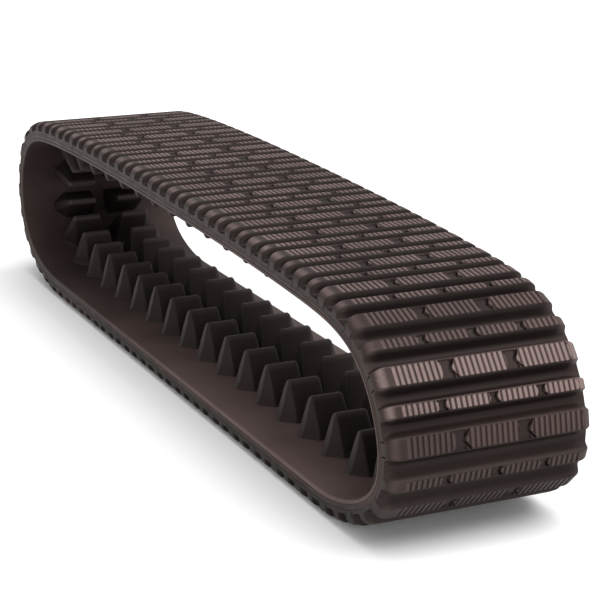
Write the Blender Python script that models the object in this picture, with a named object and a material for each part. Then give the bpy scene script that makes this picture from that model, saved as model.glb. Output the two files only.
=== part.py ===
"""All-rubber crawler track with internal drive lugs, standing free on its tread.

The belt is a lay-up of endless layers.  From the wheel side outwards: two
strips of drive lugs, the wheel-side cover, an inner fabric ply, a row of
endless tension cords, two outer fabric plies, and the tread cover with its
lateral bars.  A rubber edge strip closes the cord layer on each side.

Frame: X along the track, Y across it, Z up.  The origin is on the ground under
the middle of the track.  The cord line is the one line of the belt that keeps
its length, so every layer and every pitch is laid off from it.
"""
import math

import bmesh
import bpy
import numpy as np

# --- Driving dimensions, metres -------------------------------------------
WIDTH = 0.381              # belt width
PITCH = 0.1016             # drive-lug pitch along the cord line
LUG_COUNT = 42             # lugs in each row, so the cord line is 4.2672 m long
GAP = 0.0003               # clearance between neighbouring layers

# Free-standing side profile of the belt's outer face, scaled to the cord line
FACE_LENGTH = 1.964        # over both bends
FRONT_FLAT = 0.254         # from the front bend's nose back to the flat run
REAR_FLAT = 0.278          # from the rear bend's nose forward to the flat run
FRONT_NOSE_Z = 0.153       # height of the front bend's nose
REAR_NOSE_Z = 0.192        # height of the rear bend's nose
FRONT_TOP = (0.328, 0.361)  # set-back and height where the front bend meets the top run
REAR_TOP = (0.260, 0.367)
CROWN_Z = 0.378            # height of the top run at mid length

# Lay-up across the thickness, as distances from the cord line
INNER_FACE = 0.0125        # cord line to the wheel-side face
INNER_COVER_T = 0.0070
INNER_PLY_T = 0.0014
CORD_D = 0.0056
OUTER_PLY_T = 0.0014
OUTER_FACE = 0.0120        # cord line to the floor of the tread grooves
CORD_COUNT = 14
EDGE_W = 0.0120            # width of each edge strip

# Tread
BAR_H = 0.0220
WIDE_BAR = 0.0365          # along the track, at the top of the bar
NARROW_BAR = 0.0215
BAR_DRAFT = 0.0030         # each flank runs out this much from top to root
SHOULDER_W = 0.0240        # the bar ends fall over this width
SHOULDER_DROP = 0.0150
TREAD_PHASE = 0.270        # first wide bar, as a share of a pitch

# Drive lugs
LUG_H = 0.0760
LUG_STRIP_T = 0.0030
LUG_TOP_L = 0.0120         # along the track
LUG_BASE_L = 0.0640
LUG_TOP_W = 0.0640         # across the track
LUG_BASE_W = 0.0940
LUG_TOP_Y = 0.0610         # middle of each row's tops from the middle of the belt
LUG_BASE_Y = 0.0640        # the outer ends flare more than the inner ones
LUG_PHASE = 0.719          # first lug of each row, as a share of a pitch


# --- Side profile ----------------------------------------------------------
def clamped_spline(knots, start_dir, end_dir, per_span=60):
    """Smooth curve through the knots with given end directions."""
    p = np.asarray(knots, float)
    chord = np.linalg.norm(np.diff(p, axis=0), axis=1)
    t = np.concatenate([[0], np.cumsum(np.sqrt(chord))])
    h = np.diff(t)
    n = len(p)
    a = np.zeros((n, n))
    r = np.zeros((n, 2))
    # first derivatives at the knots; the end ones follow the flat run
    end_speed = (chord[0] / h[0], chord[-1] / h[-1])
    a[0, 0] = a[-1, -1] = 1
    r[0] = np.array(start_dir) * end_speed[0]
    r[-1] = np.array(end_dir) * end_speed[1]
    for i in range(1, n - 1):
        a[i, i - 1] = h[i]
        a[i, i] = 2 * (h[i - 1] + h[i])
        a[i, i + 1] = h[i - 1]
        r[i] = 3 * (h[i] * (p[i] - p[i - 1]) / h[i - 1] + h[i - 1] * (p[i + 1] - p[i]) / h[i])
    d = np.linalg.solve(a, r)
    out = []
    for i in range(n - 1):
        u = np.linspace(0, 1, per_span, endpoint=False)[:, None]
        out.append((2 * u**3 - 3 * u**2 + 1) * p[i] + (u**3 - 2 * u**2 + u) * h[i] * d[i]
                   + (-2 * u**3 + 3 * u**2) * p[i + 1] + (u**3 - u**2) * h[i] * d[i + 1])
    return np.vstack(out + [p[-1:]])


def closed_normals(points):
    ahead = np.roll(points, -1, axis=0) - np.roll(points, 1, axis=0)
    ahead /= np.linalg.norm(ahead, axis=1)[:, None]
    return np.stack([ahead[:, 1], -ahead[:, 0]], axis=1)


def closed_length(points):
    return np.linalg.norm(np.roll(points, -1, axis=0) - points, axis=1).sum()


def face_curve(scale):
    """Outer face of the belt, counter-clockwise from the start of the flat run."""
    ln, fr, rr = FACE_LENGTH, FRONT_FLAT, REAR_FLAT
    (fx, fz), (bx, bz) = FRONT_TOP, REAR_TOP
    knots = [
        (ln - fr, 0), (ln - 0.22 * fr, 0.35 * FRONT_NOSE_Z), (ln, FRONT_NOSE_Z),
        (ln - 0.25 * fx, FRONT_NOSE_Z + 0.72 * (fz - FRONT_NOSE_Z)), (ln - fx, fz),
        ((ln - fx + bx) / 2, CROWN_Z), (bx, bz),
        (0.25 * bx, REAR_NOSE_Z + 0.72 * (bz - REAR_NOSE_Z)), (0, REAR_NOSE_Z),
        (0.22 * rr, 0.30 * REAR_NOSE_Z), (rr, 0),
    ]
    bend = clamped_spline(knots, (1, 0), (1, 0))
    flat = np.linspace(rr, ln - fr, 200)[1:-1]
    pts = np.vstack([bend, np.stack([flat, np.zeros_like(flat)], axis=1)])
    return pts * scale


def cord_curve():
    """The cord line, with its length made exactly LUG_COUNT pitches."""
    scale = 1.0
    for _ in range(12):
        face = face_curve(scale)
        line = face - closed_normals(face) * OUTER_FACE
        scale *= LUG_COUNT * PITCH / closed_length(line)
    face = face_curve(scale)
    line = face - closed_normals(face) * OUTER_FACE
    # roughly centred, with the tread bars near the ground
    line[:, 0] -= (line[:, 0].max() + line[:, 0].min()) / 2
    line[:, 1] += OUTER_FACE + BAR_H - line[:, 1].min()
    return line


LINE = cord_curve()
NORMAL = closed_normals(LINE)
_STEP = np.linalg.norm(np.roll(LINE, -1, axis=0) - LINE, axis=1)
ARC = np.concatenate([[0], np.cumsum(_STEP)])
LOOP = ARC[-1]


def on_line(s):
    """Point on the cord line and its outward normal, at arc length s."""
    s = np.asarray(s, float) % LOOP
    closed = np.vstack([LINE, LINE[:1]])
    normals = np.vstack([NORMAL, NORMAL[:1]])
    pts = np.stack([np.interp(s, ARC, closed[:, k]) for k in (0, 1)], axis=-1)
    nrm = np.stack([np.interp(s, ARC, normals[:, k]) for k in (0, 1)], axis=-1)
    return pts, nrm / np.linalg.norm(nrm, axis=-1, keepdims=True)


def tooth(s_centre, top_l, base_l, root, tip):
    """Outline of one bar or lug standing square on the cord line: root, top, top, root."""
    mid, up = on_line(s_centre)
    ahead = np.array([-up[1], up[0]])
    roots, up_r = on_line(s_centre + np.array([-base_l, base_l]) / 2)
    return [roots[0] + up_r[0] * root, mid + up * tip - ahead * top_l / 2,
            mid + up * tip + ahead * top_l / 2, roots[1] + up_r[1] * root]


def tread_outline():
    """Groove floors and bars, one wide and one narrow bar to each pitch."""
    points = []
    for k in range(LUG_COUNT):
        wide = (k + TREAD_PHASE) * PITCH
        narrow = wide + PITCH / 2
        points += tooth(wide, WIDE_BAR, WIDE_BAR + 2 * BAR_DRAFT, OUTER_FACE, OUTER_FACE + BAR_H)
        points += tooth(narrow, NARROW_BAR, NARROW_BAR + 2 * BAR_DRAFT, OUTER_FACE,
                        OUTER_FACE + BAR_H)
    return points


def centre_on_origin():
    """Put the middle of the overall length over the origin, and the lowest bar on the ground."""
    outline = np.array(tread_outline())
    LINE[:, 0] -= (outline[:, 0].max() + outline[:, 0].min()) / 2
    LINE[:, 1] -= outline[:, 1].min()


centre_on_origin()


def facet_stations(turn_deg=9.5, longest=0.16):
    """Arc lengths of the facets that all layers share: close in the bends, one on the flat run."""
    tangent = np.unwrap(np.arctan2(NORMAL[:, 1], NORMAL[:, 0]))
    turn = np.abs(np.diff(np.append(tangent, tangent[0] + 2 * math.pi)))
    share = np.maximum(turn / math.radians(turn_deg), _STEP / longest)
    flat = np.abs(LINE[:, 1] - LINE[:, 1].min()) < 1e-6
    share[flat] = 0.0
    total = np.concatenate([[0], np.cumsum(share)])
    count = math.ceil(total[-1])
    bends = np.interp(np.arange(count) * total[-1] / count, total, ARC)
    rear_end = ARC[np.flatnonzero(flat[1:])[0] + 1]
    return np.append(bends, rear_end)


STATIONS = facet_stations()
CORNERS = on_line(STATIONS)[0]


def layer(offset):
    """The faceted cord line moved out by offset, every facet parallel to itself."""
    ahead = np.roll(CORNERS, -1, axis=0) - CORNERS
    ahead /= np.linalg.norm(ahead, axis=1)[:, None]
    n1 = np.stack([ahead[:, 1], -ahead[:, 0]], axis=1)
    n0 = np.roll(n1, 1, axis=0)
    mitre = n0 + n1
    mitre /= np.linalg.norm(mitre, axis=1)[:, None]
    return CORNERS + mitre * (offset / (mitre * n1).sum(axis=1))[:, None]


# --- Blender helpers -------------------------------------------------------
for item in list(bpy.data.objects):
    bpy.data.objects.remove(item, do_unlink=True)

track = bpy.data.collections.new("rubber_track")
bpy.context.scene.collection.children.link(track)


def material(name, colour, roughness, metallic=0.0):
    mat = bpy.data.materials.new(name)
    mat.use_nodes = True
    shader = mat.node_tree.nodes["Principled BSDF"]
    shader.inputs["Base Color"].default_value = (*colour, 1)
    shader.inputs["Roughness"].default_value = roughness
    shader.inputs["Metallic"].default_value = metallic
    return mat


def outline_to_mesh(name, loops, width, y_mid, mat):
    """Extrude closed X-Z outlines across the track: the first is outside, the rest are holes."""
    curve = bpy.data.curves.new(name, "CURVE")
    curve.dimensions = "2D"
    curve.fill_mode = "BOTH"
    curve.extrude = width / 2
    for loop in loops:
        spline = curve.splines.new("POLY")
        spline.points.add(len(loop) - 1)
        for point, (x, z) in zip(spline.points, loop):
            point.co = (x, z, 0, 1)
        spline.use_cyclic_u = True
    guide = bpy.data.objects.new(name + "_outline", curve)
    guide.rotation_euler = (math.pi / 2, 0, 0)
    guide.location = (0, y_mid, 0)
    bpy.context.scene.collection.objects.link(guide)
    bpy.context.view_layer.update()
    graph = bpy.context.evaluated_depsgraph_get()
    mesh = bpy.data.meshes.new_from_object(guide.evaluated_get(graph))
    mesh.transform(guide.matrix_world)
    bpy.data.objects.remove(guide, do_unlink=True)
    bpy.data.curves.remove(curve)
    bm = bmesh.new()
    bm.from_mesh(mesh)
    bmesh.ops.remove_doubles(bm, verts=bm.verts, dist=0.00001)
    bmesh.ops.recalc_face_normals(bm, faces=bm.faces)
    bm.to_mesh(mesh)
    bm.free()
    mesh.name = name
    mesh.materials.clear()
    mesh.materials.append(mat)
    obj = bpy.data.objects.new(name, mesh)
    track.objects.link(obj)
    return obj


def band(name, inside, outside, y_low, y_high, mat):
    """One endless layer between two distances from the cord line."""
    obj = outline_to_mesh(name, [layer(outside), layer(inside)], y_high - y_low,
                          (y_low + y_high) / 2, mat)
    obj.data.set_sharp_from_angle(angle=math.radians(30))
    return obj


# --- Materials -------------------------------------------------------------
tread_rubber = material("tread_rubber", (0.045, 0.036, 0.034), 0.62)
cover_rubber = material("wheel_side_rubber", (0.040, 0.032, 0.030), 0.55)
lug_rubber = material("lug_rubber", (0.034, 0.028, 0.026), 0.50)
edge_rubber = material("edge_rubber", (0.042, 0.034, 0.030), 0.58)
ply_fabric = material("ply_fabric", (0.300, 0.255, 0.190), 0.85)
cord_fibre = material("cord_fibre", (0.480, 0.400, 0.200), 0.75)

# --- Carcass ---------------------------------------------------------------
half = WIDTH / 2
cord_half = half - EDGE_W

band("inner_cover", -INNER_FACE, -INNER_FACE + INNER_COVER_T, -half, half, cover_rubber)

ply_in = -INNER_FACE + INNER_COVER_T + GAP
band("inner_fabric_ply", ply_in, ply_in + INNER_PLY_T, -cord_half + GAP, cord_half - GAP, ply_fabric)

cord_low = ply_in + INNER_PLY_T + GAP
cord_high = cord_low + CORD_D
cord_pitch = 2 * cord_half / CORD_COUNT
for k in range(CORD_COUNT):
    y = -cord_half + (k + 0.5) * cord_pitch
    band(f"tension_cord_{k + 1:02d}", cord_low, cord_high, y - cord_pitch / 2 + GAP,
         y + cord_pitch / 2 - GAP, cord_fibre)

ply_1 = cord_high + GAP
band("outer_fabric_ply_1", ply_1, ply_1 + OUTER_PLY_T, -cord_half + GAP, cord_half - GAP, ply_fabric)
ply_2 = ply_1 + OUTER_PLY_T + GAP
band("outer_fabric_ply_2", ply_2, ply_2 + OUTER_PLY_T, -cord_half + GAP, cord_half - GAP, ply_fabric)

edge_low = ply_in
edge_high = ply_2 + OUTER_PLY_T
band("edge_strip_left", edge_low, edge_high, cord_half, half, edge_rubber)
band("edge_strip_right", edge_low, edge_high, -half, -cord_half, edge_rubber)

# --- Tread cover -----------------------------------------------------------
tread_low = edge_high + GAP


def nearest_on_line(x, z):
    """Arc length, offset and normal of a point near the belt."""
    d = (LINE[:, 0] - x) ** 2 + (LINE[:, 1] - z) ** 2
    i = int(d.argmin())
    return ARC[i], float(np.dot([x - LINE[i, 0], z - LINE[i, 1]], NORMAL[i])), NORMAL[i]


def lay_shoulders(obj):
    """Cut the tread across near both ends and let the bar ends fall in two steps."""
    bm = bmesh.new()
    bm.from_mesh(obj.data)
    for y in (half - SHOULDER_W, half - 0.4 * SHOULDER_W):
        for side in (-1, 1):
            bmesh.ops.bisect_plane(bm, geom=bm.verts[:] + bm.edges[:] + bm.faces[:],
                                   plane_co=(0, side * y, 0), plane_no=(0, 1, 0))
    for vert in bm.verts:
        reach = half - abs(vert.co.y)
        drop = SHOULDER_DROP if reach < 1e-5 else 0.3 * SHOULDER_DROP if reach < 0.5 * SHOULDER_W else 0
        if drop:
            _, off, up = nearest_on_line(vert.co.x, vert.co.z)
            if off > OUTER_FACE + BAR_H / 2:
                vert.co.x -= up[0] * drop
                vert.co.z -= up[1] * drop
    bm.to_mesh(obj.data)
    bm.free()


tread = outline_to_mesh("tread", [tread_outline(), layer(tread_low)], WIDTH, 0, tread_rubber)
lay_shoulders(tread)

# --- Drive lugs ------------------------------------------------------------
lug_root = -INNER_FACE - GAP - LUG_STRIP_T
lug_tip = -INNER_FACE - LUG_H


def lug_outline():
    """The lug strip's inner side: flat between the lugs, one lug to each pitch."""
    points = []
    for k in range(LUG_COUNT):
        points += tooth((k + LUG_PHASE) * PITCH, LUG_TOP_L, LUG_BASE_L, lug_root, lug_tip)
    return points


def taper_lug_ends(obj, side):
    """Pull the lug tops in, so that each lug's two ends slope."""
    for vert in obj.data.vertices:
        _, off, _ = nearest_on_line(vert.co.x, vert.co.z)
        if off < (lug_root + lug_tip) / 2:
            across = vert.co.y - side * LUG_BASE_Y
            vert.co.y = side * LUG_TOP_Y + across * LUG_TOP_W / LUG_BASE_W


for side_name, side in (("left", 1), ("right", -1)):
    strip = outline_to_mesh("drive_lugs_" + side_name, [layer(-INNER_FACE - GAP), lug_outline()],
                            LUG_BASE_W, side * LUG_BASE_Y, lug_rubber)
    taper_lug_ends(strip, side)
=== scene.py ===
import math

import bpy
import numpy as np
from mathutils import Matrix, Vector


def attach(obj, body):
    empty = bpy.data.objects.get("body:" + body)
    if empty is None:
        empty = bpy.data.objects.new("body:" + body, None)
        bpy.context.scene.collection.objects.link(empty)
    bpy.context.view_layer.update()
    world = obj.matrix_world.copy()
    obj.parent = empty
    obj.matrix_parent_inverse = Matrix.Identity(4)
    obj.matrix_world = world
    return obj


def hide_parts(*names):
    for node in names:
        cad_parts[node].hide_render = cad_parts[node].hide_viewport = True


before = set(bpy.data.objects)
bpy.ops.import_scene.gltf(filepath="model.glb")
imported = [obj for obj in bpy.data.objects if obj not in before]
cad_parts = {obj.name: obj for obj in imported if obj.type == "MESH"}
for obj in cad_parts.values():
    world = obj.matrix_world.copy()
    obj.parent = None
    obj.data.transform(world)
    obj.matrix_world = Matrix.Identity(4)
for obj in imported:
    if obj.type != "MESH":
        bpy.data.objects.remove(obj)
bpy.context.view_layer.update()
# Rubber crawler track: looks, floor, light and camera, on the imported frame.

# --- Sizes, as in the CAD (metres) ------------------------------------------
WIDTH = 0.381
PITCH = 0.1016
LUG_COUNT = 42
FACE_LENGTH = 1.964
FRONT_FLAT, REAR_FLAT = 0.254, 0.278
FRONT_NOSE_Z, REAR_NOSE_Z = 0.153, 0.192
FRONT_TOP = (0.328, 0.361)
REAR_TOP = (0.260, 0.367)
CROWN_Z = 0.378
INNER_FACE, OUTER_FACE = 0.0125, 0.0120
BAR_H = 0.022
WIDE_BAR, NARROW_BAR, BAR_DRAFT = 0.0365, 0.0215, 0.003
SHOULDER_W, SHOULDER_DROP = 0.024, 0.0160
TREAD_PHASE = 0.270
LUG_H = 0.076
LUG_TOP_L, LUG_BASE_L = 0.012, 0.064
LUG_TOP_W, LUG_BASE_W = 0.064, 0.094
LUG_TOP_Y, LUG_BASE_Y = 0.061, 0.064
LUG_PHASE = 0.719
HALF = WIDTH / 2
EDGE_W = 0.012
TREAD_LOW = 0.0058
COVER_OUT = -0.0055


# --- The smooth side profile -------------------------------------------------
def clamped_spline(knots, start_dir, end_dir, per_span=60):
    p = np.asarray(knots, float)
    chord = np.linalg.norm(np.diff(p, axis=0), axis=1)
    t = np.concatenate([[0], np.cumsum(np.sqrt(chord))])
    h = np.diff(t)
    n = len(p)
    a = np.zeros((n, n))
    r = np.zeros((n, 2))
    end_speed = (chord[0] / h[0], chord[-1] / h[-1])
    a[0, 0] = a[-1, -1] = 1
    r[0] = np.array(start_dir) * end_speed[0]
    r[-1] = np.array(end_dir) * end_speed[1]
    for i in range(1, n - 1):
        a[i, i - 1] = h[i]
        a[i, i] = 2 * (h[i - 1] + h[i])
        a[i, i + 1] = h[i - 1]
        r[i] = 3 * (h[i] * (p[i] - p[i - 1]) / h[i - 1] + h[i - 1] * (p[i + 1] - p[i]) / h[i])
    d = np.linalg.solve(a, r)
    out = []
    for i in range(n - 1):
        u = np.linspace(0, 1, per_span, endpoint=False)[:, None]
        out.append((2 * u**3 - 3 * u**2 + 1) * p[i] + (u**3 - 2 * u**2 + u) * h[i] * d[i]
                   + (-2 * u**3 + 3 * u**2) * p[i + 1] + (u**3 - u**2) * h[i] * d[i + 1])
    return np.vstack(out + [p[-1:]])


def closed_normals(points):
    ahead = np.roll(points, -1, axis=0) - np.roll(points, 1, axis=0)
    ahead /= np.linalg.norm(ahead, axis=1)[:, None]
    return np.stack([ahead[:, 1], -ahead[:, 0]], axis=1)


def closed_length(points):
    return np.linalg.norm(np.roll(points, -1, axis=0) - points, axis=1).sum()


def face_curve(scale):
    ln, fr, rr = FACE_LENGTH, FRONT_FLAT, REAR_FLAT
    (fx, fz), (bx, bz) = FRONT_TOP, REAR_TOP
    knots = [
        (ln - fr, 0), (ln - 0.22 * fr, 0.35 * FRONT_NOSE_Z), (ln, FRONT_NOSE_Z),
        (ln - 0.25 * fx, FRONT_NOSE_Z + 0.72 * (fz - FRONT_NOSE_Z)), (ln - fx, fz),
        ((ln - fx + bx) / 2, CROWN_Z), (bx, bz),
        (0.25 * bx, REAR_NOSE_Z + 0.72 * (bz - REAR_NOSE_Z)), (0, REAR_NOSE_Z),
        (0.22 * rr, 0.30 * REAR_NOSE_Z), (rr, 0),
    ]
    bend = clamped_spline(knots, (1, 0), (1, 0))
    flat = np.linspace(rr, ln - fr, 200)[1:-1]
    pts = np.vstack([bend, np.stack([flat, np.zeros_like(flat)], axis=1)])
    return pts * scale


def cord_curve():
    scale = 1.0
    for _ in range(12):
        face = face_curve(scale)
        line = face - closed_normals(face) * OUTER_FACE
        scale *= LUG_COUNT * PITCH / closed_length(line)
    face = face_curve(scale)
    line = face - closed_normals(face) * OUTER_FACE
    line[:, 0] -= (line[:, 0].max() + line[:, 0].min()) / 2
    line[:, 1] += OUTER_FACE + BAR_H - line[:, 1].min()
    return line


LINE = cord_curve()
NORMAL = closed_normals(LINE)
_STEP = np.linalg.norm(np.roll(LINE, -1, axis=0) - LINE, axis=1)
ARC = np.concatenate([[0], np.cumsum(_STEP)])
LOOP = ARC[-1]


def on_line(s):
    """Point on the cord line and its outward normal, at arc length s."""
    s = np.asarray(s, float) % LOOP
    closed = np.vstack([LINE, LINE[:1]])
    normals = np.vstack([NORMAL, NORMAL[:1]])
    pts = np.stack([np.interp(s, ARC, closed[:, k]) for k in (0, 1)], axis=-1)
    nrm = np.stack([np.interp(s, ARC, normals[:, k]) for k in (0, 1)], axis=-1)
    return pts, nrm / np.linalg.norm(nrm, axis=-1, keepdims=True)


def bar_tips():
    tips = []
    for k in range(LUG_COUNT):
        for shift, top in ((0.0, WIDE_BAR), (0.5, NARROW_BAR)):
            mid, up = on_line((k + TREAD_PHASE + shift) * PITCH)
            ahead = np.array([-up[1], up[0]])
            for e in (-1, 1):
                tips.append(mid + up * (OUTER_FACE + BAR_H) + e * ahead * top / 2)
    return np.array(tips)


tips = bar_tips()
LINE[:, 0] -= (tips[:, 0].max() + tips[:, 0].min()) / 2
LINE[:, 1] -= tips[:, 1].min()


def place(s, y, off):
    """Belt coordinates (along, across, out from the cord line) to the part's frame."""
    pts, up = on_line(s)
    q = pts + up * np.asarray(off)[..., None]
    return np.stack([q[..., 0], np.broadcast_to(y, q[..., 0].shape), q[..., 1]], axis=-1)


def place_rigid(s_mid, ds, y, off):
    """A block that stands square on the cord line at s_mid and doesn't bend with it."""
    mid, up = on_line(s_mid)
    ahead = np.array([-up[1], up[0]])
    q = mid + up * np.asarray(off)[..., None] + ahead * np.asarray(ds)[..., None]
    return np.stack([q[..., 0], np.broadcast_to(y, q[..., 0].shape), q[..., 1]], axis=-1)


# --- Mesh helpers --------------------------------------------------------------
def mesh_object(name, verts, faces, mat, smooth_deg=38.0, wear_and_light=None, painted_shade=None):
    mesh = bpy.data.meshes.new(name)
    verts = np.asarray(verts, np.float32).reshape(-1, 3)
    faces = np.asarray(faces, np.int32)
    per = faces.shape[1]
    mesh.vertices.add(len(verts))
    mesh.vertices.foreach_set("co", verts.ravel())
    mesh.loops.add(faces.size)
    mesh.loops.foreach_set("vertex_index", faces.ravel())
    mesh.polygons.add(len(faces))
    mesh.polygons.foreach_set("loop_start", np.arange(0, faces.size, per, dtype=np.int32))
    mesh.update(calc_edges=True)
    mesh.validate()
    mesh.shade_smooth()
    mesh.set_sharp_from_angle(angle=math.radians(smooth_deg))
    for label, values in (("wear_and_light", wear_and_light), ("painted_shade", painted_shade)):
        if values is not None:
            layer = mesh.attributes.new(label, "FLOAT", "POINT")
            layer.data.foreach_set("value", np.ascontiguousarray(values, np.float32).ravel())
    mesh.materials.append(mat)
    obj = bpy.data.objects.new(name, mesh)
    bpy.context.scene.collection.objects.link(obj)
    return obj


def torus_faces(rows, cols):
    """Quads of a grid that closes both ways: rows along the belt, cols round its section."""
    i, j = np.meshgrid(np.arange(rows), np.arange(cols), indexing="ij")
    i2, j2 = (i + 1) % rows, (j + 1) % cols
    return np.stack([i * cols + j, i * cols + j2, i2 * cols + j2, i2 * cols + j], -1).reshape(-1, 4)


def smooth01(x):
    x = np.clip(x, 0, 1)
    return x * x * (3 - 2 * x)


# --- Materials -------------------------------------------------------------------
def rubber(name, dark, light, rough=0.6, grain=0.0006, use_wear_light_shade=False, tint=(0.033, 0.018, 0.014),
           worn_lit_colour=(0.178, 0.128, 0.122)):
    """Moulded rubber: mottled dark body, brown bloom, a lighter colour for dust and wear with painted light and
    painted highlights, near-black painted shade, fine moulding grain.
    """
    mat = bpy.data.materials.new(name)
    mat.use_nodes = True
    nt = mat.node_tree
    nodes, links = nt.nodes, nt.links
    bsdf = nodes["Principled BSDF"]
    coord = nodes.new("ShaderNodeTexCoord")

    def noise(scale, detail=4.0, rough_=0.55):
        n = nodes.new("ShaderNodeTexNoise")
        n.inputs["Scale"].default_value = scale
        n.inputs["Detail"].default_value = detail
        n.inputs["Roughness"].default_value = rough_
        links.new(coord.outputs["Object"], n.inputs["Vector"])
        return n.outputs["Fac"]

    def ramp(fac, lo, hi, a=0.0, b=1.0):
        n = nodes.new("ShaderNodeMapRange")
        n.inputs["From Min"].default_value = lo
        n.inputs["From Max"].default_value = hi
        n.inputs["To Min"].default_value = a
        n.inputs["To Max"].default_value = b
        links.new(fac, n.inputs["Value"])
        return n.outputs["Result"]

    def mix(fac, a, b):
        n = nodes.new("ShaderNodeMix")
        n.data_type = "RGBA"
        links.new(fac, n.inputs["Factor"])
        for sock, val in ((n.inputs["A"], a), (n.inputs["B"], b)):
            if isinstance(val, tuple):
                sock.default_value = (*val, 1)
            else:
                links.new(val, sock)
        return n.outputs["Result"]

    def math_(op, a, b):
        n = nodes.new("ShaderNodeMath")
        n.operation = op
        for sock, val in zip(n.inputs, (a, b)):
            if isinstance(val, (int, float)):
                sock.default_value = val
            else:
                links.new(val, sock)
        return n.outputs[0]

    body = mix(ramp(noise(7.0), 0.35, 0.68), dark, light)
    body = mix(ramp(noise(2.3, 3.0), 0.48, 0.72, 0.0, 0.55), body, tint)
    if use_wear_light_shade:
        att = nodes.new("ShaderNodeAttribute")
        att.attribute_name = "wear_and_light"
        patch = ramp(noise(3.6, 3.0), 0.28, 0.62, 0.45, 1.0)
        fine = ramp(noise(160.0, 3.0), 0.25, 0.7, 0.7, 1.0)
        amount = math_("MULTIPLY", math_("MULTIPLY", att.outputs["Fac"], patch), fine)
        # lighter colour: dust and wear, with painted light and painted highlights
        body = mix(amount, body, worn_lit_colour)
        # near-black painted shade in hollows, on the lower bends and bottom run, and inside the rear bend
        shade_paint = nodes.new("ShaderNodeAttribute")
        shade_paint.attribute_name = "painted_shade"
        body = mix(shade_paint.outputs["Fac"], body, (0.0036, 0.0024, 0.0022))
        links.new(ramp(amount, 0.0, 1.0, rough, rough + 0.12), bsdf.inputs["Roughness"])
    else:
        links.new(ramp(noise(30.0), 0.3, 0.7, rough - 0.07, rough + 0.08), bsdf.inputs["Roughness"])
    links.new(body, bsdf.inputs["Base Color"])
    bsdf.inputs["Specular IOR Level"].default_value = 0.30
    bsdf.inputs["Specular Tint"].default_value = (1.0, 0.80, 0.76, 1)
    bump = nodes.new("ShaderNodeBump")
    bump.inputs["Strength"].default_value = 0.35
    bump.inputs["Distance"].default_value = grain
    links.new(noise(420.0, 3.0, 0.6), bump.inputs["Height"])
    links.new(bump.outputs["Normal"], bsdf.inputs["Normal"])
    return mat


def woven(name, a, b, scale):
    """Rubberised ply or cord: fine threads in two tones."""
    mat = bpy.data.materials.new(name)
    mat.use_nodes = True
    nodes, links = mat.node_tree.nodes, mat.node_tree.links
    bsdf = nodes["Principled BSDF"]
    coord = nodes.new("ShaderNodeTexCoord")
    wave = nodes.new("ShaderNodeTexWave")
    wave.inputs["Scale"].default_value = scale
    wave.inputs["Distortion"].default_value = 1.2
    wave.bands_direction = "DIAGONAL"
    links.new(coord.outputs["Object"], wave.inputs["Vector"])
    n = nodes.new("ShaderNodeMix")
    n.data_type = "RGBA"
    n.inputs["A"].default_value = (*a, 1)
    n.inputs["B"].default_value = (*b, 1)
    links.new(wave.outputs["Fac"], n.inputs["Factor"])
    links.new(n.outputs["Result"], bsdf.inputs["Base Color"])
    bsdf.inputs["Roughness"].default_value = 0.85
    bump = nodes.new("ShaderNodeBump")
    bump.inputs["Distance"].default_value = 0.0004
    links.new(wave.outputs["Fac"], bump.inputs["Height"])
    links.new(bump.outputs["Normal"], bsdf.inputs["Normal"])
    return mat


# tread: the lighter colour is dust and wear on the pad tops, with painted light and painted highlights
tread_mat = rubber("tread_rubber", (0.0130, 0.0080, 0.0074), (0.0240, 0.0152, 0.0138), 0.56, use_wear_light_shade=True)
# wheel-side face: the lighter colour is painted light, the near-black mix painted shade
cover_mat = rubber("wheel_side_rubber", (0.0430, 0.0275, 0.0252), (0.0750, 0.0490, 0.0445), 0.60, use_wear_light_shade=True,
                   tint=(0.076, 0.047, 0.040), worn_lit_colour=(0.185, 0.132, 0.126))
# lugs: the lighter colour is wear on the tops, with painted light
lug_mat = rubber("lug_rubber", (0.0066, 0.0047, 0.0043), (0.0120, 0.0086, 0.0078), 0.50, use_wear_light_shade=True,
                 tint=(0.0110, 0.0072, 0.0056), worn_lit_colour=(0.058, 0.044, 0.041))
edge_mat = rubber("edge_rubber", (0.0167, 0.0100, 0.0080), (0.0290, 0.0170, 0.0130), 0.58,
                  tint=(0.040, 0.021, 0.013))
ply_mat = woven("ply_fabric", (0.25, 0.21, 0.15), (0.36, 0.31, 0.23), 260.0)
cord_mat = woven("cord_fibre", (0.38, 0.31, 0.14), (0.56, 0.47, 0.25), 420.0)

# --- Tread -------------------------------------------------------------------------
COLS = 301
y_cols = np.linspace(-HALF, HALF, COLS)
RIB_COLS = 8                       # columns to one rib and its groove, 10.2 mm


def flank(half_top):
    """Distances from a bar's middle, and heights, from the groove floor up to the top."""
    return [(half_top + 0.0088, 0.0), (half_top + 0.0060, 0.0009), (half_top + 0.0040, 0.0034),
            (half_top + 0.0022, 0.0110), (half_top + 0.0006, 0.0205), (half_top - 0.0010, 0.0219)]


def cell_rows():
    """Rows along one pitch: (distance from the wide bar's middle, which bar, distance in bar, height)."""
    rows = []
    for centre, top, inner in ((0.0, WIDE_BAR, 13), (PITCH / 2, NARROW_BAR, 8)):
        side = flank(top / 2)
        for d, z in side:
            rows.append((centre - d, centre > 0, -d, z))
        for d in np.linspace(-top / 2 + 0.0030, top / 2 - 0.0030, inner):
            rows.append((centre + d, centre > 0, d, BAR_H))
        for d, z in reversed(side):
            rows.append((centre + d, centre > 0, d, z))
    return rows


ROWS = cell_rows()
WIDE_CUTS = (0.355, 0.672)
NARROW_CUTS = (0.284, 0.535, 0.770)


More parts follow.
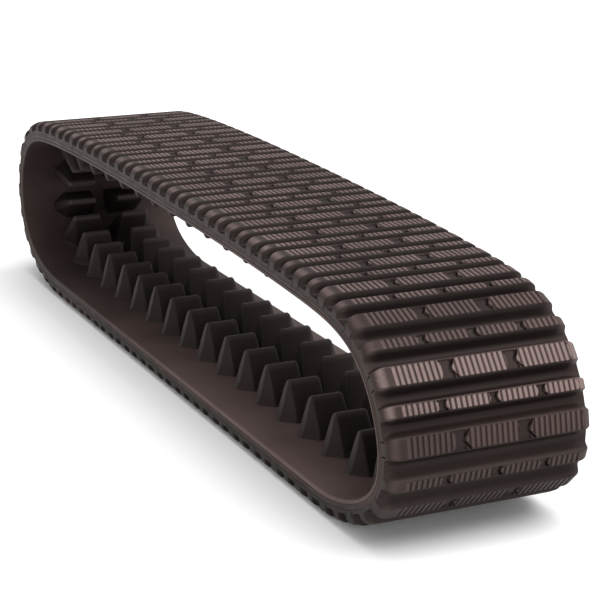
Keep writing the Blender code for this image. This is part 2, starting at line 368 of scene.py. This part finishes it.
def pad_detail(narrow, d, share):
    """Depth cut into the bar top, how light the face is (dust and wear, with painted light), and painted shade
    between pads and in deep cuts, across one row of the tread.
    """
    top = NARROW_BAR if narrow else WIDE_BAR
    u = d / top + 0.5                                    # 0 at the rear flank, 1 at the front one
    cuts = NARROW_CUTS if narrow else WIDE_CUTS
    y = share * WIDTH
    cut = np.zeros_like(share)
    wear_and_light = np.zeros_like(share)
    shade_paint = np.zeros_like(share)
    reach = 0.008 if narrow else 0.014
    # the pads' pointed ends: the tip is near the middle of the bar, the rear arm is the longer
    knee = 0.48
    slant = 0.75 * (u - knee) / (1 - knee) if u > knee else (knee - u) / knee
    starts = [0.078 * WIDTH] + [c * WIDTH for c in cuts]
    ends = [c * WIDTH for c in cuts] + [0.962 * WIDTH]
    for k, (a, b) in enumerate(zip(starts, ends)):
        line = a + slant * reach * (k > 0)
        if k:
            near = np.abs(y - line)
            cut = np.maximum(cut, 0.0060 * (1 - smooth01((near - 0.0011) / 0.0014)))
        stop = b - (0.004 if k == len(starts) - 1 else 0.0095 if narrow else 0.0150)
        round_off = 0.006 * (2 * abs(u - 0.5)) ** 3
        first = line + 0.0024
        inside = (y > first) & (y < stop - round_off)
        col = np.arange(COLS)
        offset = int(round((a + 0.003) / (WIDTH / (COLS - 1))))
        phase = (col - offset) % RIB_COLS
        groove = np.isin(phase, (5, 6, 7))
        edge = min(1.0, (0.5 - abs(u - 0.5)) * top / 0.0022)
        depth = 0.0024 * max(edge, 0.0)
        cut = np.where(inside & groove, np.maximum(cut, depth), cut)
        wear_and_light = np.where(inside & ~groove, 1.0, wear_and_light)
        wear_and_light = np.where(inside & groove, 0.10, wear_and_light)
        # the strip between two pads lies a little lower, stays unworn and gets painted shade
        plain = (y >= stop - round_off) & (y < b + 0.004) & (k < len(starts) - 1)
        cut = np.where(plain, np.maximum(cut, 0.0034), cut)
        shade_paint = np.where(plain, 0.62, shade_paint)
    wear_and_light = np.where(cut > 0.003, 0.0, wear_and_light)
    # pads round over along their long sides
    rim = (0.5 - abs(u - 0.5)) * top
    cut = np.where(wear_and_light > 0.5, cut + 0.0012 * max(0.0, 1 - rim / 0.0035) ** 2, cut)
    # painted shade on the plain strips, and darker in the deepest cuts
    painted_shade = np.maximum(shade_paint, np.clip((cut - 0.0036) / 0.0022, 0, 1))
    return cut, wear_and_light, painted_shade


# How light the pads are along the belt, painted light: brightest in a band just over the front nose, dim above
# it, full over the top run and rear bend, least on the lower front bend and along the bottom run
PAD_LIGHT_AT = ((0.000, 0.25), (0.350, 0.30), (0.368, 1.45), (0.462, 1.45), (0.478, 0.40), (0.565, 0.45),
           (0.600, 1.05), (3.000, 1.00), (3.600, 0.40), (4.2672, 0.25))


def build_tread():
    share = (y_cols + HALF) / WIDTH
    reach = HALF - np.abs(y_cols)
    q = np.clip(1 - reach / SHOULDER_W, 0, 1)
    drop = SHOULDER_DROP * (1 - np.sqrt(np.clip(1 - q * q, 0, 1)))
    one_h, one_w, one_s, one_g = [], [], [], []
    for s, narrow, d, z in ROWS:
        if z >= BAR_H:
            cut, wear_and_light, painted_shade = pad_detail(narrow, d, share)
        else:
            # painted shade on the rear flanks and along the floor, less on the front flank; a painted highlight
            # along the front flank's top edge
            cut, wear_and_light = np.zeros(COLS), np.full(COLS, 0.34 * (z > 0.020) * (d > 0))
            painted_shade = np.full(COLS, 0.90 if d < 0 and z > 0.0005 else 0.62 if z < 0.004 else 0.25)
        high = z / BAR_H
        crown = smooth01((q - 0.02) / 0.5) * (1 - smooth01((q - 0.55) / 0.45))
        h = z - drop * high - cut
        # painted highlight along the shoulder crowns; the pad tops' lighter colour fades out towards the
        # shoulders
        wear_and_light = wear_and_light * (1 - q) + 0.80 * crown * high ** 3
        # bar ends grow slightly narrower towards the belt edge
        top = NARROW_BAR if narrow else WIDE_BAR
        pull = 1 - 0.30 * q ** 2 * (abs(d) > top / 2 - 0.004)
        lean = 0.0012 * (d / top) * (1 - q) if z >= BAR_H else 0.0
        one_s.append((s - d) + d * pull)
        one_h.append(h)
        one_w.append(np.clip(wear_and_light, 0, 1))
        one_g.append(np.clip(painted_shade, 0, 1) * (1 - 0.7 * q))
    one_s, one_h, one_w, one_g = map(np.array, (one_s, one_h, one_w, one_g))
    n = len(ROWS)
    verts = np.zeros((LUG_COUNT, n, COLS + 2, 3))
    for k in range(LUG_COUNT):
        base = (k + TREAD_PHASE) * PITCH
        flat = place(base + one_s, y_cols[None, :], OUTER_FACE + one_h)
        # bar tops stay straight between their flanks, as thick rubber does round a bend
        for narrow in (False, True):
            rows = [i for i, r in enumerate(ROWS) if r[1] == narrow]
            mid = base + (PITCH / 2 if narrow else 0.0)
            stiff = place_rigid(mid, one_s[rows] + base - mid, y_cols[None, :], OUTER_FACE + one_h[rows])
            w = np.clip(one_h[rows] / 0.008, 0, 1)[..., None]
            flat[rows] = flat[rows] * (1 - w) + stiff * w
        verts[k, :, :COLS] = flat
        s_edge = base + one_s[:, -1]
        verts[k, :, COLS] = place(s_edge, HALF, np.full(n, TREAD_LOW))
        verts[k, :, COLS + 1] = place(s_edge, -HALF, np.full(n, TREAD_LOW))
    wear_and_light = np.concatenate([one_w, np.full((n, 2), 0.05)], axis=1)
    where = ((np.arange(LUG_COUNT)[:, None] + TREAD_PHASE) * PITCH + np.array([r[0] for r in ROWS])) % LOOP
    pad_light_along = np.interp(where, *zip(*PAD_LIGHT_AT))
    wear_and_light = wear_and_light[None] * pad_light_along[..., None]
    painted_shade = np.concatenate([one_g, np.full((n, 2), 0.3)], axis=1)
    # painted shade on the lower front bend and along the bottom run
    low_shade_along = np.interp(where, (0.0, 0.16, 0.24, 0.31, 0.36, 2.95, 3.15, LOOP),
                       (0.85, 0.82, 0.60, 0.20, 0.0, 0.0, 0.75, 0.85))
    # painted shade, darkest in the grooves of the top run
    top_groove_shade = np.interp(where, (0.52, 0.66, 2.80, 2.95), (0.0, 0.82, 0.82, 0.0)) * (np.array([r[3] for r in ROWS]) < BAR_H * 0.96)
    painted_shade = 1 - (1 - painted_shade[None]) * (1 - low_shade_along[..., None]) * (1 - top_groove_shade[..., None])
    rows = LUG_COUNT * n
    return mesh_object("tread_detail", verts.reshape(-1, 3), torus_faces(rows, COLS + 2), tread_mat,
                       smooth_deg=42, wear_and_light=wear_and_light, painted_shade=painted_shade)


# --- Wheel-side cover and edge strips ----------------------------------------------
def section_sweep(name, section, mat, count=520, painted_light_at=None, painted_shade_at=None):
    """A closed section (across, out) swept once round the belt."""
    section = np.asarray(section, float)
    s = np.arange(count) / count * LOOP
    verts = place(s[:, None] + 0 * section[:, 0][None, :], section[:, 0][None, :],
                  np.broadcast_to(section[:, 1], (count, len(section))))
    layers = [None if at is None else np.repeat(np.interp(s, *zip(*at)), len(section))
              for at in (painted_light_at, painted_shade_at)]
    return mesh_object(name, verts, torus_faces(count, len(section)), mat, smooth_deg=40,
                       wear_and_light=layers[0], painted_shade=layers[1])


def rounded(corners, radius, n=5):
    """A polygon with rounded corners; a radius of 0 keeps a corner."""
    out = []
    m = len(corners)
    for i, (c, r) in enumerate(zip(corners, radius)):
        c = np.array(c, float)
        if r == 0:
            out.append(c)
            continue
        a = np.array(corners[i - 1], float) - c
        b = np.array(corners[(i + 1) % m], float) - c
        a /= np.linalg.norm(a)
        b /= np.linalg.norm(b)
        for t in np.linspace(0, 1, n):
            out.append(c + a * r * (1 - t) ** 2 + b * r * t ** 2)
    return np.array(out)


def build_cover():
    inner = -INNER_FACE
    outer = COVER_OUT
    pts = rounded([(-HALF, outer), (-HALF, inner), (HALF, inner), (HALF, outer)],
                  [0.0, 0.0040, 0.0040, 0.0])
    # painted light on the inner face at the front of the flat run; painted shade on it over the rear of the top
    # run and round the rear bend
    return section_sweep("wheel_side_cover", pts[::-1], cover_mat,
                         painted_light_at=((0.0, 0.50), (0.25, 0.0), (3.05, 0.0), (4.05, 0.50), (LOOP, 0.50)),
                         painted_shade_at=((0.0, 0.0), (0.9, 0.15), (1.9, 0.60), (2.85, 0.60), (3.25, 0.0), (LOOP, 0.0)))


def build_edge(side, name):
    lo, hi = -0.0052, 0.0055
    out = side * HALF
    inn = side * (HALF - EDGE_W)
    mid = (lo + hi) / 2
    pts = [(inn, lo), (out - side * 0.0002, lo), (out - side * 0.0010, lo + 0.0012),
           (out - side * 0.0003, mid - 0.0012), (out, mid), (out - side * 0.0003, mid + 0.0012),
           (out - side * 0.0010, hi - 0.0012), (out - side * 0.0002, hi), (inn, hi)]
    if side > 0:
        pts = pts[::-1]
    return section_sweep(name, pts[::-1], edge_mat)


# --- Drive lugs --------------------------------------------------------------------
def build_lugs(side, name):
    """42 rounded lugs: straight drive faces, a narrow flat top, flared feet."""
    v_levels = np.array([0.0, 0.02, 0.06, 0.14, 0.30, 0.50, 0.70, 0.86, 0.94, 0.975, 1.0])
    n_side = 7
    verts, faces, wear_and_light = [], [], []
    for k in range(LUG_COUNT):
        s_mid = (k + LUG_PHASE) * PITCH
        start = len(verts)
        for v in v_levels:
            foot = 0.009 * (1 - min(v / 0.12, 1.0)) ** 2
            top_round = 0.0022 * max(0.0, (v - 0.94) / 0.06) ** 2
            half_l = (LUG_BASE_L + (LUG_TOP_L - LUG_BASE_L) * v) / 2 - top_round + foot * 0.3
            half_w = (LUG_BASE_W + (LUG_TOP_W - LUG_BASE_W) * v) / 2 - top_round + foot * 0.25
            mid_y = side * (LUG_BASE_Y + (LUG_TOP_Y - LUG_BASE_Y) * v)
            r = min(0.0030, half_l * 0.4)
            nip = 0.024 * (1 - v) + 0.003 * v
            tip_l, tip_w = half_l * (0.22 + 0.5 * v), half_w + 0.003 * (1 - v)
            ring = rounded([(-half_l, -half_w), (half_l, -half_w), (half_l, half_w - nip), (tip_l, tip_w),
                            (-tip_l, tip_w), (-half_l, half_w - nip)], [r * 1.7, r * 1.7, r, r * 0.6, r * 0.6, r],
                           n_side)
            ring[:, 1] *= side
            off = -(INNER_FACE - 0.0008) - (LUG_H + 0.0008) * v
            if v == 0.0:
                base = place_rigid(s_mid, ring[:, 0], 0.0, np.full(len(ring), off))
                bent = place(s_mid + ring[:, 0], 0.0, np.full(len(ring), off))
                pos = bent
            else:
                rigid = place_rigid(s_mid, ring[:, 0], 0.0, np.full(len(ring), off))
                bent = place(s_mid + ring[:, 0], 0.0, np.full(len(ring), off))
                w = min(v / 0.14, 1.0)
                pos = rigid * w + bent * (1 - w)
            pos[:, 1] = mid_y + ring[:, 1]
            verts.extend(pos.tolist())
            # lug tops lighter: wear, with painted light
            wear_and_light.extend([0.75 * smooth01(np.array((v - 0.90) / 0.08)) + 0.08] * len(ring))
        m = 6 * n_side
        for i in range(len(v_levels) - 1):
            for j in range(m):
                a, b = start + i * m + j, start + i * m + (j + 1) % m
                faces.append((a, b, b + m, a + m))
        # the flat top and the hidden underside close with a middle point
        for ring_start, flip in ((start + (len(v_levels) - 1) * m, False), (start, True)):
            centre = np.mean([verts[ring_start + j] for j in range(m)], axis=0)
            verts.append(centre.tolist())
            wear_and_light.append(0.7 if not flip else 0.0)
            c = len(verts) - 1
            for j in range(0, m, 2):
                a, b, d = ring_start + j, ring_start + (j + 1) % m, ring_start + (j + 2) % m
                faces.append((a, b, d, c) if not flip else (d, b, a, c))
    obj = mesh_object(name, verts, faces, lug_mat, smooth_deg=36, wear_and_light=wear_and_light)
    return obj


tread_piece = build_tread()
cover_piece = build_cover()
edge_left = build_edge(1, "edge_band_left")
edge_right = build_edge(-1, "edge_band_right")
lugs_left = build_lugs(1, "lug_row_left")
lugs_right = build_lugs(-1, "lug_row_right")


def face_out(obj):
    """Turn the faces outwards, whatever order the section was listed in."""
    import bmesh
    bm = bmesh.new()
    bm.from_mesh(obj.data)
    bmesh.ops.recalc_face_normals(bm, faces=bm.faces)
    bm.to_mesh(obj.data)
    bm.free()


for piece in (tread_piece, cover_piece, edge_left, edge_right, lugs_left, lugs_right):
    face_out(piece)

for piece, node, slot in (
        (tread_piece, "tread", "tread_rubber"), (cover_piece, "inner_cover", "wheel_side_rubber"),
        (edge_left, "edge_strip_left", "edge_rubber"), (edge_right, "edge_strip_right", "edge_rubber"),
        (lugs_left, "drive_lugs_left", "lug_rubber"), (lugs_right, "drive_lugs_right", "lug_rubber")):
    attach(piece, "root")
    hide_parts(node)

for node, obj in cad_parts.items():
    if "ply" in node or "cord" in node:
        for slot in obj.material_slots:
            slot.material = ply_mat if "ply" in node else cord_mat

# --- Floor, light, camera --------------------------------------------------------------
bpy.ops.mesh.primitive_plane_add(size=40, location=(0, 0, -0.0005))
floor = bpy.context.object
floor.name = "studio_floor"
floor_mat = bpy.data.materials.new("studio_floor")
floor_mat.use_nodes = True
floor_bsdf = floor_mat.node_tree.nodes["Principled BSDF"]
floor_bsdf.inputs["Base Color"].default_value = (0.96, 0.96, 0.96, 1)
floor_bsdf.inputs["Roughness"].default_value = 0.9
floor_bsdf.inputs["Specular IOR Level"].default_value = 0.0
floor.data.materials.append(floor_mat)

world = bpy.data.worlds.new("studio")
bpy.context.scene.world = world
world.use_nodes = True
world.node_tree.nodes["Background"].inputs["Color"].default_value = (1, 1, 1, 1)
world.node_tree.nodes["Background"].inputs["Strength"].default_value = 0.70


def softbox(name, at, target, size, power):
    light = bpy.data.lights.new(name, "AREA")
    light.shape = "RECTANGLE"
    light.size, light.size_y = size
    light.energy = power
    obj = bpy.data.objects.new(name, light)
    obj.location = at
    obj.rotation_euler = (Vector(target) - Vector(at)).to_track_quat("-Z", "Y").to_euler()
    bpy.context.scene.collection.objects.link(obj)
    return obj


overhead = bpy.data.lights.new("overhead", "SUN")
overhead.angle = math.radians(55)
overhead.energy = 2.55
overhead_at = bpy.data.objects.new("overhead", overhead)
overhead_at.rotation_euler = Vector((-0.38, -0.22, -1.0)).to_track_quat("-Z", "Y").to_euler()
bpy.context.scene.collection.objects.link(overhead_at)
softbox("front", (4.2, -1.0, 1.2), (0.8, 0.0, 0.2), (1.2, 1.0), 28)

CAMERA_AT = (3.51106, -1.48811, 1.27237)
YAW, PITCH_ANGLE, ROLL, FOCAL_PX = 2.66841, -0.30277, 0.01321, 1907.023
SHIFT_PX = (81.05219, 37.77670)


def add_camera():
    cam = bpy.data.cameras.new("view")
    cam.sensor_width = 36
    cam.lens = FOCAL_PX / 600 * 36
    cam.shift_x = -SHIFT_PX[0] / 600
    cam.shift_y = SHIFT_PX[1] / 600
    cam.clip_start, cam.clip_end = 0.05, 60
    obj = bpy.data.objects.new("view", cam)
    cp, sp = math.cos(PITCH_ANGLE), math.sin(PITCH_ANGLE)
    fw = Vector((cp * math.cos(YAW), cp * math.sin(YAW), sp))
    rt = fw.cross(Vector((0, 0, 1))).normalized()
    up = rt.cross(fw)
    cr, sr = math.cos(ROLL), math.sin(ROLL)
    rt, up = cr * rt + sr * up, -sr * rt + cr * up
    rot = Matrix((rt, up, -fw)).transposed().to_4x4()
    obj.matrix_world = Matrix.Translation(CAMERA_AT) @ rot
    bpy.context.scene.collection.objects.link(obj)
    bpy.context.scene.camera = obj


add_camera()
view = bpy.context.scene.view_settings
view.view_transform = "Standard"
view.look = "None"
view.exposure = 0.0
